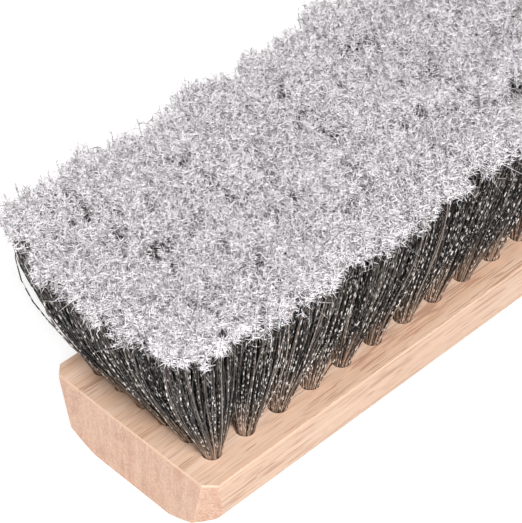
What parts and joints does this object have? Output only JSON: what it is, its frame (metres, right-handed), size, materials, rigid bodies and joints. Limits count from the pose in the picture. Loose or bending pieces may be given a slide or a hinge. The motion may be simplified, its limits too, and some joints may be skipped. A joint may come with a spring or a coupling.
{
  "type": "clothes brush",
  "caption": "Clothes brush: plain wooden block with bevelled back and cut corners, filled with soft dark tufts that flare outward to pale feathered tips.",
  "frame": {"origin": "middle of the block's flat back, which the brush lies on", "axes": "+X along the block's length and grain, +Y across its width, +Z from the back towards the tuft tips"},
  "size_m": [0.2396, 0.0816, 0.0822],
  "materials": {
    "beech": "satin",
    "horsehair": "satin",
    "anchor_wire": "satin"
  },
  "bodies": {
    "root": {"block": "beech", "tuft_row_01": "horsehair", "tuft_row_02": "horsehair", "tuft_row_03": "horsehair", "tuft_row_04": "horsehair", "tuft_row_05": "horsehair", "tuft_row_06": "horsehair", "tuft_row_07": "horsehair", "tuft_row_08": "horsehair", "tuft_row_09": "horsehair", "tuft_row_10": "horsehair", "tuft_row_11": "horsehair", "tuft_row_12": "horsehair", "tuft_row_13": "horsehair", "tuft_row_14": "horsehair", "tuft_row_15": "horsehair", "tuft_row_16": "horsehair", "anchor_row_01": "anchor_wire", "anchor_row_02": "anchor_wire", "anchor_row_03": "anchor_wire", "anchor_row_04": "anchor_wire", "anchor_row_05": "anchor_wire", "anchor_row_06": "anchor_wire", "anchor_row_07": "anchor_wire", "anchor_row_08": "anchor_wire", "anchor_row_09": "anchor_wire", "anchor_row_10": "anchor_wire", "anchor_row_11": "anchor_wire", "anchor_row_12": "anchor_wire", "anchor_row_13": "anchor_wire", "anchor_row_14": "anchor_wire", "anchor_row_15": "anchor_wire", "anchor_row_16": "anchor_wire"}
  },
  "joints": []
}
